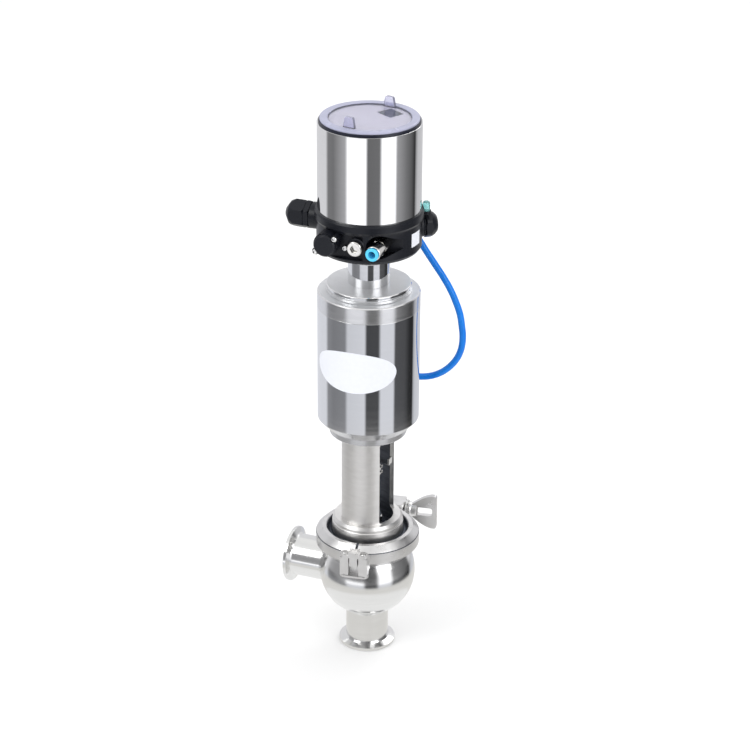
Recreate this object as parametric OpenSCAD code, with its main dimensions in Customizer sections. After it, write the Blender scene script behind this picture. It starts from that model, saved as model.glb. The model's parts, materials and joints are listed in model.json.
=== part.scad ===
// Sanitary angle-seat control valve with a pneumatic actuator and a top positioner.
// Origin: centre of the inlet ferrule face. +Z up along the stem, outlet along -X.

/* [Pipe ends] */
// Outside diameter of the inlet and outlet pipes
pipe_d = 38.1; // [36:0.1:40]
// Wall of the pipes
pipe_wall = 1.65; // [1.2:0.05:2.2]
// Diameter of the ferrules on the pipe ends
ferrule_d = 50.5; // [48:0.5:56]
// Thickness of a ferrule at its rim
rim_t = 2.85; // [2:0.05:3.5]

/* [Body] */
// Outside diameter of the body's ball
ball_d = 86; // [84:0.5:88]
// Wall of the ball
ball_wall = 2.5; // [2:0.1:3]
// Height of the outlet axis above the inlet face
outlet_z = 73.5; // [71:0.5:80]
// Distance of the outlet face from the stem axis
outlet_reach = 73; // [68:0.5:90]
// Height of the seat ring
seat_h = 7.5; // [6:0.5:9]
// Bore of the seat ring
seat_bore_d = 30; // [26:0.5:32]

/* [Bonnet joint] */
// Outside diameter of the body's top neck and of the yoke's cup
neck_d = 63.5; // [62:0.5:65]
// Width of the two bonnet ferrules' rims outside the neck
bonnet_rim = 7; // [6:0.25:8]
// Wall of the top neck
neck_wall = 1.65; // [1.4:0.05:2.2]
// Height of the bonnet joint above the outlet axis
joint_rise = 34.5; // [34:0.5:38]
// Thickness of the body gasket between the ferrules
gasket_t = 1.6; // [1.2:0.1:2.4]

/* [Clamp] */
// Thickness of the clamp ring outside the ferrules
clamp_wall = 7.55; // [7:0.05:8.5]
// Height of the clamp ring
clamp_h = 21; // [20:0.5:21.5]
// Width of the clamp's lips over the ferrules' rims
lip_w = 2.45; // [2:0.05:2.7]
// Distance of the bolt's line outside the clamp ring
bolt_out = 8.7; // [8:0.1:11]
// Diameter of the clamp bolt
bolt_d = 8; // [6:0.5:9]
// Outer face of the far lug, from the plane where the clamp parts
lug_face = 23.5; // [21:0.5:26]
// Span of the wing nut across its wings
wing_span = 33; // [28:1:36]
// Diameter of the hinge pins and of the bolt's pivot
pin_d = 5; // [4:0.25:5.5]

/* [Yoke] */
// Outside diameter of the yoke tube
yoke_d = 50.8; // [48:0.2:53]
// Wall of the yoke tube
yoke_wall = 2.5; // [2:0.1:3]
// Length of the yoke above the bonnet joint
yoke_rise = 105; // [100:1:115]
// Height of the yoke's cup above the bonnet joint
cup_rise = 22; // [20:0.5:24]
// Width of the two windows in the yoke tube
window_w = 36; // [30:1:40]

/* [Stem] */
// Diameter of the valve stem
stem_d = 12; // [10:0.5:13]
// Travel of the stem from shut to open
travel = 15; // [10:0.5:16]
// Diameter of the piston rod
rod_d = 16; // [14:0.5:17]

/* [Actuator] */
// Outside diameter of the actuator barrel
act_d = 88.9; // [87:0.1:92]
// Wall of the actuator barrel
act_wall = 2; // [1.5:0.1:2.5]
// Diameter of the lip under the actuator
act_lip_d = 68; // [64:1:72]
// Height of the lip under the actuator
act_lip_h = 7; // [5:0.5:9]
// Height of the bevel under the barrel
act_bevel_h = 9; // [6:0.5:11]
// Length of the barrel between the bevel and the cap's seam
barrel_h = 104.5; // [100:0.5:115]
// Height of the cap's skirt
cap_h = 14.5; // [12:0.5:18]
// Diameter of the disc on the cap
disc_d = 74.6; // [68:0.2:80]
// Height of the disc on the cap
disc_h = 7; // [6:0.5:9]
// Thickness of the piston
piston_h = 12; // [10:0.5:14]

/* [Neck] */
// Diameter of the steel neck under the positioner
mast_d = 36.2; // [34:0.2:38]
// Height of the neck up to its collar
mast_h = 23; // [18:0.5:30]
// Diameter of the neck's collar
mast_collar_d = 40.4; // [39:0.2:44]
// Height of the neck's collar
mast_collar_h = 8.6; // [7:0.2:10]

/* [Positioner] */
// Diameter of the black base
base_d = 89.8; // [88:0.2:92]
// Height of the black base
base_h = 36.4; // [36:0.2:40]
// Diameter of the base's collar round the shell
base_collar_d = 93; // [92.2:0.2:96]
// Height of that collar
base_collar_h = 8.6; // [7:0.2:10]
// Diameter of the steel shell
shell_d = 88.4; // [87:0.2:89.6]
// Length of the steel shell above the base
shell_h = 77.9; // [70:0.1:90]
// Wall of the steel shell
shell_wall = 1.5; // [1:0.1:2]
// Diameter of the clear lid
lid_d = 84; // [80:0.5:86]
// Height of the ports above the base's foot
port_z = 18.4; // [17:0.2:20]

/* [Hidden] */
$fn = 96;

// Clearances
run = 0.05;        // radial, shaft in its bush
slip = 0.02;       // radial, parts that stay together
near = 0.2;        // between surfaces that only come close
clamp_gap = 0.3;   // between the clamp's slopes and the ferrules' backs
rim_gap = 0.9;     // between the clamp's groove and the ferrules' rims
taper = 20;        // slope on the back of every ferrule, degrees

// Bonnet ferrules and clamp ring
bonnet_d = neck_d + 2 * bonnet_rim;
clamp_d = bonnet_d + 2 * clamp_wall;
lip_d = bonnet_d - 2 * lip_w;
bolt_reach = clamp_d / 2 + bolt_out;

// Heights of the stack, from the inlet face upwards
joint_z = outlet_z + joint_rise;
body_top = joint_z - gasket_t / 2;
bonnet_z = joint_z + gasket_t / 2;
cup_top = joint_z + cup_rise;
yoke_top = joint_z + yoke_rise;
bevel_z = yoke_top + act_lip_h;
barrel_z = bevel_z + act_bevel_h;
seam_z = barrel_z + barrel_h;
cap_top = seam_z + cap_h;
disc_top = cap_top + disc_h;
mast_collar_z = disc_top + mast_h;
base_z = mast_collar_z + mast_collar_h;
base_top = base_z + base_h;
shell_top = base_top + shell_h;
ports_z = base_z + port_z;

// Body
ball_r = ball_d / 2;
cavity_r = ball_r - ball_wall;
pipe_bore = pipe_d - 2 * pipe_wall;
neck_bore = neck_d - 2 * neck_wall;
seat_r = pipe_bore / 2 + 1.55;
seat_floor = outlet_z - sqrt(cavity_r * cavity_r - seat_r * seat_r) - 1.2;
seat_top = seat_floor + seat_h;
seat_gap = 0.05;
weld_r = 0.9;
weld_z = sqrt(ball_r * ball_r - pipe_d * pipe_d / 4);
groove_r = ferrule_d / 2 - 3.5;

// Plug and stem
plug_r = seat_bore_d / 2 + 3;
plug_h = 7;
nose_gap = 0.4;
plug_boss_r = stem_d / 2 + 4;
plug_seal_h = 2.6;
stem_in = 10;
plug_top = seat_top + 18;
stem_r = stem_d / 2;
rod_r = rod_d / 2;
coupling_z = joint_z + 62;
coupling_h = 24;
stem_top = coupling_z + 12;
coupling_r = 12;
pointer_z = coupling_z + 13;

// Gland in the yoke's floor
gland_r = stem_r + 4.5;
floor_top = bonnet_z + 9;
boss_top = bonnet_z + 13;
boss_r = gland_r + 5;
gland_lip = 1.2;
gland_hex_h = 8;
seal_h = 4.6;
bush_h = 4.8;
gland_af = 2 * gland_r + 3;

// Clamp: tangent t points from the left half to the right half at the bolt
bolt_angle = 98;
hinge_angle = bolt_angle - 180;
pivot_t = -11;
lug_h = 20;
lug_in = clamp_d / 2 - 4;
lug_out = bolt_reach + 7.5;
part_gap = 1.2;
clamp_slope = 5.5;
slot_h = bolt_d + 1.2;
eye_h = slot_h - 0.6;
eye_r = 6;
washer_t = 2;
hinge_reach = clamp_d / 2 + 5.2;
knuckle_r = 4.4;
knuckle_x = 8.4;
knuckle_bot = joint_z - 12.4;
knuckle_top = joint_z + 5;
link_plate = 3;
link_foot = 1.8;
bolt_tip = lug_face + 9.5;
nut_plate = 5;
nut_len = 26.5;
nut_bar = 3.8;
loop_w = 8;

// Actuator
act_r = act_d / 2;
barrel_r = act_r - act_wall;
spigot_h = 7;
piston_z = barrel_z + 21;
cap_spigot_h = 8.5;
air_port_z = barrel_z + 15.5;
rod_top = cap_top - 1;
feedback_r = 3;
feedback_in = 12;
feedback_out = 12;
bush_r = rod_r + 3;
spring_r = 29;
spring_wire = 2.4;
spring_turns = 5;
spring_steps = 14;
cup_depth = 4;
spring_low = piston_z + piston_h - cup_depth + spring_wire;
spring_high = seam_z - cap_spigot_h + 9 - spring_wire;
spring_path = [for (i = [0:spring_steps * spring_turns]) let (a = 360 * i / spring_steps)
    [spring_r * cos(a), spring_r * sin(a),
     spring_low + (spring_high - spring_low) * i / (spring_steps * spring_turns)]];

// Positioner
right_angle = 36;
base_r = base_d / 2;
collar_r = base_collar_d / 2;
shell_r = shell_d / 2;
facet_y = 42.2;
vent_x = -20.2;
vent_dz = -1;
blank_x = 4.9;
blank_dz = -2;
supply_x = 23.5;
supply_dz = -1.5;
left_reach = facet_y + 5;
left_dz = 3.3;
right_dz = -2;
pocket_y = 22;
push_r = 6.2;
tube_d = 6;
tube_bore = tube_d + 0.3;
fitting_r = 4.8;
fitting_af = 12;
push_bore_r = 4.3;
socket_h = 8;
supply_len = 30.5;
supply_hex_h = 17;
pocket_r = 10.4;
gland_thread_r = 7.9;
lens_d = 6.4;
lens_h = 9;
lens_sink = 6;
lens_foot = 1.8;
lens_angle = right_angle - 8;
lens_reach = shell_r + lens_d / 2 + 1.2;
grip_angle = 79;
grip_reach = 31.5;
grip_h = 9.5;
display_angle = 60;
display_size = [15.5, 18, 5];
display_x = 14.5;
sensor_d = 26;
sensor_h = 34;
pilot_size = [14, 18, 30];
pilot_x = 16;
vent_d = 20.8;
vent_face_r = 9.6;
vent_screw = [8.7, 6.7];
vent_lobe_r = 3;
vent_seat = 5.5;
vent_flange = 5.5;
vent_face_h = 3.6;
blank_d = 13.2;
blank_boss_d = 16.2;
ring_gap = 1.5;
ring_t = 1.8;
lid_r = lid_d / 2;
lid_rim_w = 7;
cover_r = lid_r - lid_rim_w - 0.4;
gland_hex = 22;
right_cap_r = 11.9;
screw_d = 3;
screw_x = -5.4;
screw_dz = -4.5;
screw_head_d = 4.6;
upper_x = 10;
upper_z = ports_z - 9;
upper_turn = atan2(4, 3);
elbow_y = 56;
elbow_out = 13;
elbow_r = 5.9;

// Route of the air tube, from the upper elbow down to the lower one
tube_route = [
    [13, 56, 392], [19, 56, 384], [25, 56, 376], [32, 56, 366], [40.5, 56, 354.5],
    [48.5, 56, 343.5], [55, 56, 333], [60, 56, 322.5], [64, 56, 311.5], [66, 56, 300.5],
    [67, 56, 291], [66.5, 56, 282], [65, 56, 275.5], [62, 56, 268.5], [58, 56, 262.5],
    [52.5, 56, 256.5], [46, 56, 251.5], [38, 56, 247.5], [29, 56, 245.2], [20, 56, 244.5],
    [5, 56, 244.5]];

// Shapes that repeat

module ring(d_out, d_in, h) difference() {
    cylinder(d = d_out, h = h);
    translate([0, 0, -1]) cylinder(d = d_in, h = h + 2);
}

module hexagon(af, h) cylinder(d = af / cos(30), h = h, $fn = 6);

// A bar with its edges broken, standing on z = 0
module bevelled(d, h, c) rotate_extrude()
    polygon([[0, 0], [d / 2 - c, 0], [d / 2, c], [d / 2, h - c], [d / 2 - c, h], [0, h]]);

// Ferrule with its face on z = 0 and its back sloping into a neck
module ferrule(rim_r, neck_r) rotate_extrude()
    polygon([[0, 0], [rim_r - 0.4, 0], [rim_r, 0.4], [rim_r, rim_t],
        [neck_r + 1, rim_t + (rim_r - neck_r - 1) * tan(taper)],
        [neck_r, rim_t + (rim_r - neck_r) * tan(taper) + 1],
        [0, rim_t + (rim_r - neck_r) * tan(taper) + 1]]);

// Half-round groove that a gasket's bead lies in
module bead_groove(r) rotate_extrude() translate([r, 0]) circle(d = 2.6, $fn = 24);

module bead(r, w) rotate_extrude() translate([r, 0]) circle(r = w, $fn = 16);

module at_outlet() translate([-outlet_reach, 0, outlet_z]) rotate([0, 90, 0]) children();

// Frame at the bolt: x outwards from the stem, y along the bolt from right to left
module at_bolt() translate([0, 0, joint_z]) rotate([0, 0, bolt_angle]) children();

module at_hinge() translate([0, 0, joint_z]) rotate([0, 0, hinge_angle]) children();

// Bolt's own frame: z along the bolt, starting at its pivot
module along_bolt() at_bolt() translate([bolt_reach, -pivot_t, 0]) rotate([90, 0, 0]) children();

// Frames of the ports: z points out of the housing
module front_port(x, dz, y) translate([x, -y, ports_z + dz]) rotate([90, 0, 0]) children();
module vent_port(y) front_port(vent_x, vent_dz, y) children();
module blank_port(y) front_port(blank_x, blank_dz, y) children();
module supply_port(y) front_port(supply_x, supply_dz, y) children();
module left_port() translate([-left_reach, 0, ports_z + left_dz]) rotate([0, -90, 0]) children();
module right_port() rotate([0, 0, right_angle]) translate([facet_y, 0, ports_z + right_dz])
    rotate([0, 90, 0]) children();
module upper_port() translate([upper_x, facet_y, upper_z]) rotate([-90, 0, 0]) children();
module lower_port() translate([0, act_r, air_port_z]) rotate([-90, 0, 0]) children();
module upper_way() translate([upper_x, elbow_y, upper_z]) rotate([0, 90 + upper_turn, 0]) children();
module lower_way() translate([0, elbow_y, air_port_z]) rotate([0, 90, 0]) children();

// Fluid end

module valve_body() color("silver") difference() {
    union() {
        translate([0, 0, outlet_z]) sphere(r = ball_r);
        ferrule(ferrule_d / 2, pipe_d / 2);
        cylinder(d = pipe_d, h = outlet_z - ball_r + 8);
        at_outlet() {
            ferrule(ferrule_d / 2, pipe_d / 2);
            cylinder(d = pipe_d, h = outlet_reach - ball_r + 8);
            translate([0, 0, outlet_reach - weld_z]) bead(pipe_d / 2, weld_r);
        }
        translate([0, 0, outlet_z - weld_z]) bead(pipe_d / 2, weld_r);
        translate([0, 0, outlet_z]) cylinder(d = neck_d, h = body_top - outlet_z);
        translate([0, 0, body_top]) mirror([0, 0, 1]) ferrule(bonnet_d / 2, neck_d / 2);
    }
    translate([0, 0, outlet_z]) sphere(r = cavity_r);
    translate([0, 0, outlet_z]) cylinder(d = neck_bore, h = ball_d);
    translate([0, 0, -1]) cylinder(d = pipe_bore, h = outlet_z);
    at_outlet() translate([0, 0, -1]) cylinder(d = pipe_bore, h = outlet_reach);
    translate([0, 0, seat_floor]) cylinder(r = seat_r + slip, h = seat_h);
    bead_groove(groove_r);
    at_outlet() bead_groove(groove_r);
}

module seat_ring() color("gainsboro") translate([0, 0, seat_floor]) rotate_extrude()
    polygon([[seat_bore_d / 2, 0], [seat_r, 0], [seat_r, seat_h - 1], [seat_r - 1, seat_h],
        [seat_bore_d / 2 + 0.8, seat_h], [seat_bore_d / 2, seat_h - 0.8]]);

// Contoured nose: the flow area grows with the lift
function nose_r(k) = (seat_bore_d / 2 - nose_gap) * sqrt(1 - 0.72 * k);

module plug() color("silver") difference() {
    rotate_extrude() polygon(concat(
        [[0, seat_floor + 1]],
        [for (i = [6:-1:0]) [nose_r(i / 6), seat_top - i / 6 * (seat_h - 1)]],
        [[nose_r(0), seat_top + 0.6], [plug_r, seat_top + 0.6], [plug_r, seat_top + plug_h - 1.5],
         [plug_r - 1.5, seat_top + plug_h], [plug_boss_r, seat_top + plug_h + 2],
         [plug_boss_r, plug_top], [0, plug_top]]));
    translate([0, 0, plug_top - stem_in]) cylinder(r = stem_r + slip, h = stem_in + 1);
    translate([0, 0, seat_top]) ring(2 * plug_r - 0.8, seat_bore_d + 0.4, plug_seal_h);
}

module plug_seal() color("white") translate([0, 0, seat_top + seat_gap])
    ring(2 * plug_r - 0.9, seat_bore_d + 0.5, plug_seal_h - seat_gap - slip);

module valve_stem() color("silver") translate([0, 0, plug_top - stem_in + slip])
    bevelled(stem_d, stem_top - plug_top + stem_in - 2 * slip, 0.8);

module body_gasket() color("white") translate([0, 0, body_top])
    ring(bonnet_d - 1, neck_bore + 0.4, gasket_t);

module stem_seal() color("black") translate([0, 0, bonnet_z + gland_lip])
    ring(2 * gland_r - 2 * slip, stem_d + 2 * run, seal_h);

module stem_bush() color("ivory") translate([0, 0, bonnet_z + gland_lip + seal_h])
    ring(2 * gland_r - 2 * slip, stem_d + 2 * run, bush_h);

module gland_nut() color("silver") difference() {
    union() {
        translate([0, 0, bonnet_z + gland_lip + seal_h + bush_h]) cylinder(r = gland_r - slip, h = 4);
        intersection() {
            translate([0, 0, boss_top]) hexagon(gland_af, gland_hex_h);
            translate([0, 0, boss_top]) bevelled(gland_af / cos(30), gland_hex_h, 1.2);
        }
    }
    translate([0, 0, bonnet_z]) cylinder(r = stem_r + 4 * run, h = 30);
}

// Yoke

module window() translate([0, 0, cup_top]) {
    h = yoke_top - cup_top - 3;
    c = 3;
    rotate([90, 0, 90]) translate([0, 0, -yoke_d]) linear_extrude(2 * yoke_d) {
        translate([-window_w / 2, c]) square([window_w, h - 2 * c]);
        translate([-window_w / 2 + c, 0]) square([window_w - 2 * c, h]);
        for (sx = [-1, 1]) for (z = [c, h - c])
            translate([sx * (window_w / 2 - c), z]) circle(r = c, $fn = 24);
    }
}

module yoke() color("silver") difference() {
    union() {
        translate([0, 0, bonnet_z]) ferrule(bonnet_d / 2, neck_d / 2);
        translate([0, 0, bonnet_z]) rotate_extrude() polygon([
            [0, 0], [neck_d / 2, 0], [neck_d / 2, cup_rise - 6.3], [neck_d / 2 - 0.5, cup_rise - 5.8],
            [neck_d / 2 - 0.5, cup_rise - 3.4], [neck_d / 2 - 2.2, cup_rise - gasket_t / 2],
            [0, cup_rise - gasket_t / 2]]);
        translate([0, 0, bonnet_z]) cylinder(d = yoke_d, h = yoke_top - bonnet_z);
    }
    translate([0, 0, floor_top]) difference() {
        cylinder(d = yoke_d - 2 * yoke_wall, h = yoke_rise);
        translate([0, 0, -1]) cylinder(r = boss_r, h = boss_top - floor_top + 1);
    }
    translate([0, 0, bonnet_z + gland_lip]) cylinder(r = gland_r, h = yoke_rise);
    translate([0, 0, joint_z - 1]) cylinder(r = stem_r + 6 * run, h = 10);
    window();
}

// Clamp

module clamp_profile() {
    half = gasket_t / 2 + rim_t + clamp_gap;
    lip_r = lip_d / 2;
    seat_x = bonnet_d / 2 + rim_gap;
    c = clamp_slope;
    difference() {
        polygon([[lip_r, -clamp_h / 2 + 1], [lip_r + 1, -clamp_h / 2], [clamp_d / 2 - c, -clamp_h / 2],
            [clamp_d / 2, -clamp_h / 2 + c], [clamp_d / 2, clamp_h / 2 - c],
            [clamp_d / 2 - c, clamp_h / 2], [lip_r + 1, clamp_h / 2], [lip_r, clamp_h / 2 - 1]]);
        polygon([[lip_r - 1, -half - (seat_x - lip_r + 1) * tan(taper)], [seat_x, -half],
            [seat_x, half], [lip_r - 1, half + (seat_x - lip_r + 1) * tan(taper)]]);
    }
}

// Everything on one side of the plane where the clamp parts; side is 1 for the right half
module half_space(side) rotate([0, 0, bolt_angle])
    translate([-100, side > 0 ? -200 - part_gap : part_gap, -50]) cube([200, 200, 100]);

module clamp_ring(side) translate([0, 0, joint_z]) intersection() {
    rotate_extrude() clamp_profile();
    half_space(side);
}

// Ear of a half at the hinge: a knuckle joined to the ring
module knuckle(side) at_hinge() difference() {
    union() {
        translate([hinge_reach, side * knuckle_x, knuckle_bot - joint_z])
            rotate([0, 0, 45])
                cylinder(r = knuckle_r * sqrt(2) - 0.8, h = knuckle_top - knuckle_bot, $fn = 4);
        translate([clamp_d / 2 - 3, side * knuckle_x - knuckle_r + 0.6, 1 - clamp_h / 2]) cube(
            [hinge_reach - clamp_d / 2 + 3, 2 * knuckle_r - 1.2, knuckle_top - joint_z + clamp_h / 2 - 1]);
    }
    translate([hinge_reach, side * knuckle_x, -40]) cylinder(d = pin_d + 2 * run, h = 80);
    translate([0, 0, -50]) cylinder(r = clamp_d / 2 - 2, h = 100);
}

module lug_block(t0, t1) at_bolt() difference() {
    translate([lug_in, -t1, -lug_h / 2]) cube([lug_out - lug_in, t1 - t0, lug_h]);
    translate([0, 0, -50]) cylinder(r = clamp_d / 2 - 3, h = 100);
    for (s = [-1, 1]) translate([lug_out, -t1 - 1, s * lug_h / 2]) rotate([0, 45, 0])
        translate([-2, 0, -2]) cube([4, t1 - t0 + 2, 4]);
}

module clamp_half_left() color("lightgray") difference() {
    union() {
        clamp_ring(-1);
        knuckle(-1);
        lug_block(-19, -part_gap);
    }
    along_bolt() translate([-bolt_d, -slot_h / 2, -7]) cube([2 * bolt_d + 30, slot_h, 60]);
    at_bolt() translate([bolt_reach, -pivot_t, -lug_h]) cylinder(d = pin_d + 2 * slip, h = 2 * lug_h);
}

module clamp_half_right() color("lightgray") difference() {
    union() {
        clamp_ring(1);
        knuckle(1);
        intersection() {
            lug_block(part_gap, lug_face + 1);
            at_bolt() translate([bolt_reach, -pivot_t, -lug_h])
                cylinder(r = lug_face - pivot_t, h = 2 * lug_h);
        }
    }
    along_bolt() translate([-slot_h / 2 - 1.5, -slot_h / 2, 0]) cube([60, slot_h, 60]);
}

module clamp_link() color("silver") at_hinge() {
    bot = knuckle_bot - joint_z - near;
    top = knuckle_top - joint_z + near;
    web = knuckle_x - knuckle_r - 2 * near;
    translate([hinge_reach - 4, -web, bot]) cube([2.5, 2 * web, top - bot]);
    translate([hinge_reach - 4, -web - 1, top]) cube([8.6, 2 * web + 2, link_plate + 2.5]);
    translate([hinge_reach - 4, -web, -3]) cube([8.6, 2 * web, top + 3]);
    translate([0, 0, bot - link_foot]) link_strap(link_foot);
    translate([0, 0, top]) link_strap(link_plate);
}

// Flat strap of the link with a hole for each pin
module link_strap(h) difference() {
    union() {
        for (s = [-1, 1]) translate([hinge_reach, s * knuckle_x, 0]) cylinder(r = knuckle_r, h = h);
        translate([hinge_reach - 4, -knuckle_x, 0]) cube([8.6, 2 * knuckle_x, h]);
    }
    for (s = [-1, 1]) translate([hinge_reach, s * knuckle_x, -1]) cylinder(d = pin_d + 2 * slip, h = h + 2);
}

module link_pins() color("gray") at_hinge() for (s = [-1, 1])
    translate([hinge_reach, s * knuckle_x, knuckle_bot - joint_z - near - link_foot])
        bevelled(pin_d, knuckle_top - knuckle_bot + 2 * near + link_foot + link_plate + 0.6, 0.4);

module bolt_pivot_pin() color("gray") at_bolt() translate([bolt_reach, -pivot_t, -lug_h / 2 - 0.6])
    bevelled(pin_d, lug_h + 1.2, 0.4);

module swing_bolt() color("silver") difference() {
    union() {
        at_bolt() translate([bolt_reach, -pivot_t, -eye_h / 2]) cylinder(r = eye_r, h = eye_h);
        along_bolt() translate([0, 0, 3]) bevelled(bolt_d, bolt_tip - pivot_t - 3, 0.8);
    }
    at_bolt() translate([bolt_reach, -pivot_t, -eye_h]) cylinder(d = pin_d + 2 * run, h = 2 * eye_h);
}

module bolt_washer() color("silver") along_bolt() translate([0, 0, lug_face - pivot_t + 0.1])
    ring(17, bolt_d + 2 * run, washer_t);

module wing_nut() color("silver") along_bolt() translate([0, 0, lug_face - pivot_t + 0.15 + washer_t])
    difference() {
        union() {
            rotate_extrude() polygon([[0, 0], [6.8, 0], [7.2, 0.5], [7.2, 2], [6.4, 3.5], [6, 8], [0, 8]]);
            for (a = [0, 180]) rotate([90, 0, 90 + a]) translate([0, 0, -nut_plate / 2])
                linear_extrude(nut_plate) wing_outline();
        }
        translate([0, 0, -1]) cylinder(d = bolt_d + 2 * run, h = 40);
    }

// Half of the nut's flat loop: a flared wing that meets its twin in a bar at the far end
module wing_outline() difference() {
    w = wing_span / 2;
    union() {
        polygon([[0, 3], [6.2, 3.5], [w - 7, 8], [w - 3.8, 12.5], [w - 1.4, 17], [w, 21.5],
            [w, nut_len - 2], [0, nut_len - 2]]);
        polygon([[0, 3], [w - 2, nut_len - 3], [w - 2, nut_len], [0, nut_len]]);
        translate([w - 2, nut_len - 2]) circle(r = 2, $fn = 24);
    }
    translate([-1, 9]) square([1 + loop_w / 2, nut_len - 9 - nut_bar - 2]);
    translate([-1, 9]) square([1 + loop_w / 2 - 2, nut_len - 9 - nut_bar]);
    translate([loop_w / 2 - 2, nut_len - nut_bar - 2]) circle(r = 2, $fn = 24);
}

// Stem line

module coupling() color("silver") difference() {
    translate([0, 0, coupling_z]) rotate_extrude() polygon([
        [0, 0], [coupling_r - 1, 0], [coupling_r, 1], [coupling_r, 13], [coupling_r - 2, 13],
        [coupling_r - 2, coupling_h - 1], [coupling_r - 3, coupling_h], [0, coupling_h]]);
    translate([0, 0, coupling_z - 1]) cylinder(r = stem_r + slip, h = stem_top - coupling_z + 1);
    translate([0, 0, stem_top]) cylinder(r = rod_r + slip, h = 30);
    for (z = [4, 9]) translate([0, 0, coupling_z + z]) rotate([0, 90, 0])
        cylinder(d = 3 + 2 * slip, h = coupling_r + 1);
}

module coupling_screws() color("gray") for (z = [4, 9]) translate([stem_r + slip, 0, coupling_z + z])
    rotate([0, 90, 0]) difference() {
        cylinder(d = 3, h = coupling_r - stem_r + 1.4);
        translate([0, 0, coupling_r - stem_r]) hexagon(1.6, 3);
    }

module travel_pointer() color("silver") translate([0, 0, pointer_z]) difference() {
    union() {
        cylinder(r = coupling_r, h = 1.5);
        translate([coupling_r - 3, -3.5, 0]) cube([yoke_d / 2 - yoke_wall - coupling_r + 1.5, 7, 1.5]);
        translate([yoke_d / 2 - yoke_wall - 3, -3.5, 0]) cube([1.5, 7, 6]);
    }
    translate([0, 0, -1]) cylinder(r = coupling_r - 2 + slip, h = 10);
}

// Actuator

module actuator_base() color("silver") difference() {
    rotate_extrude() polygon([
        [0, yoke_top], [act_lip_d / 2 - 0.8, yoke_top], [act_lip_d / 2, yoke_top + 0.8],
        [act_lip_d / 2, bevel_z], [act_r - 8, bevel_z], [act_r, barrel_z],
        [barrel_r - slip, barrel_z], [barrel_r - slip, barrel_z + spigot_h - 1],
        [barrel_r - 1, barrel_z + spigot_h], [barrel_r - 6, barrel_z + spigot_h],
        [barrel_r - 8, barrel_z + 1], [0, barrel_z + 1]]);
    translate([0, 0, yoke_top - 1]) cylinder(r = bush_r, h = 60);
}

module rod_bush() color("ivory") translate([0, 0, yoke_top])
    ring(2 * (bush_r - slip), rod_d + 2 * run, barrel_z + 1 - yoke_top);

module actuator_barrel() color("silver") difference() {
    union() {
        translate([0, 0, barrel_z]) cylinder(r = act_r, h = barrel_h);
        lower_port() translate([0, 0, -1.5]) cylinder(r = 7.5, h = 4);
    }
    translate([0, 0, barrel_z - 1]) cylinder(r = barrel_r, h = barrel_h + 2);
    lower_port() translate([0, 0, -5]) cylinder(r = fitting_r, h = 20);
}

module actuator_cap() color("silver") difference() {
    rotate_extrude() polygon([
        [0, seam_z - cap_spigot_h], [barrel_r - 1, seam_z - cap_spigot_h],
        [barrel_r - slip, seam_z - cap_spigot_h + 1], [barrel_r - slip, seam_z],
        [act_r, seam_z], [act_r, cap_top - 1], [act_r - 1, cap_top], [0, cap_top]]);
    translate([0, 0, seam_z - 20]) cylinder(r = rod_r + run, h = 60);
    translate([0, 0, seam_z - cap_spigot_h - 1]) ring(2 * barrel_r - 12, rod_d + 18, 10);
}

module cap_disc() color("silver") difference() {
    rotate_extrude() polygon([
        [0, cap_top], [disc_d / 2 - 0.8, cap_top], [disc_d / 2, cap_top + 0.8],
        [disc_d / 2, cap_top + 2.6], [disc_d / 2 - 1.6, cap_top + 3], [disc_d / 2 - 1.6, cap_top + 3.9],
        [disc_d / 2 - 0.4, cap_top + 4.3], [disc_d / 2 - 0.4, disc_top - 0.8],
        [disc_d / 2 - 1.2, disc_top], [0, disc_top]]);
    translate([0, 0, cap_top - 1]) cylinder(r = rod_r + 1, h = 20);
}

module piston() color("darkgray") translate([0, 0, piston_z]) difference() {
    cylinder(r = barrel_r - 0.3, h = piston_h);
    translate([0, 0, piston_h / 2 - 1.75]) ring(2 * barrel_r + 2, 2 * barrel_r - 6, 3.5);
    translate([0, 0, -1]) cylinder(r = rod_r + slip, h = piston_h + 2);
    translate([0, 0, piston_h - cup_depth]) ring(2 * spring_r + 8, 2 * spring_r - 8, cup_depth + 1);
}

module piston_seal() color("black") translate([0, 0, piston_z + piston_h / 2 - 1.7])
    ring(2 * (barrel_r - run), 2 * barrel_r - 6 + 2 * slip, 3.4);

module piston_rod() color("silver") translate([0, 0, stem_top + slip]) difference() {
    bevelled(rod_d, rod_top - stem_top - travel - slip, 1);
    translate([0, 0, rod_top - stem_top - travel - feedback_in])
        cylinder(r = feedback_r + slip, h = feedback_in + 1);
}

// Sweep of a round section along points; each ring stands square to the route
function dir_at(p, i) = let (d = p[min(i + 1, len(p) - 1)] - p[max(i - 1, 0)]) d / norm(d);
function ring_at(c, d, r, sides, side_dir) = let (u = cross(side_dir, d) / norm(cross(side_dir, d)),
    v = cross(d, u))
    [for (k = [0:sides - 1]) c + r * (cos(360 * k / sides) * u + sin(360 * k / sides) * v)];

module sweep(path, r, sides, side_dirs) {
    n = len(path);
    pts = [for (i = [0:n - 1]) each ring_at(path[i], dir_at(path, i), r, sides, side_dirs[i])];
    polyhedron(pts, concat(
        [[for (k = [0:sides - 1]) k]],
        [for (i = [0:n - 2]) for (k = [0:sides - 1])
            let (a = i * sides + k, b = i * sides + (k + 1) % sides) [a, a + sides, b + sides, b]],
        [[for (k = [sides - 1:-1:0]) (n - 1) * sides + k]]), convexity = 6);
}

module return_spring() color("slategray")
    sweep(spring_path, spring_wire, 8, [for (p = spring_path) [0, 0, 1]]);

// Neck and feedback rod

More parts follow.
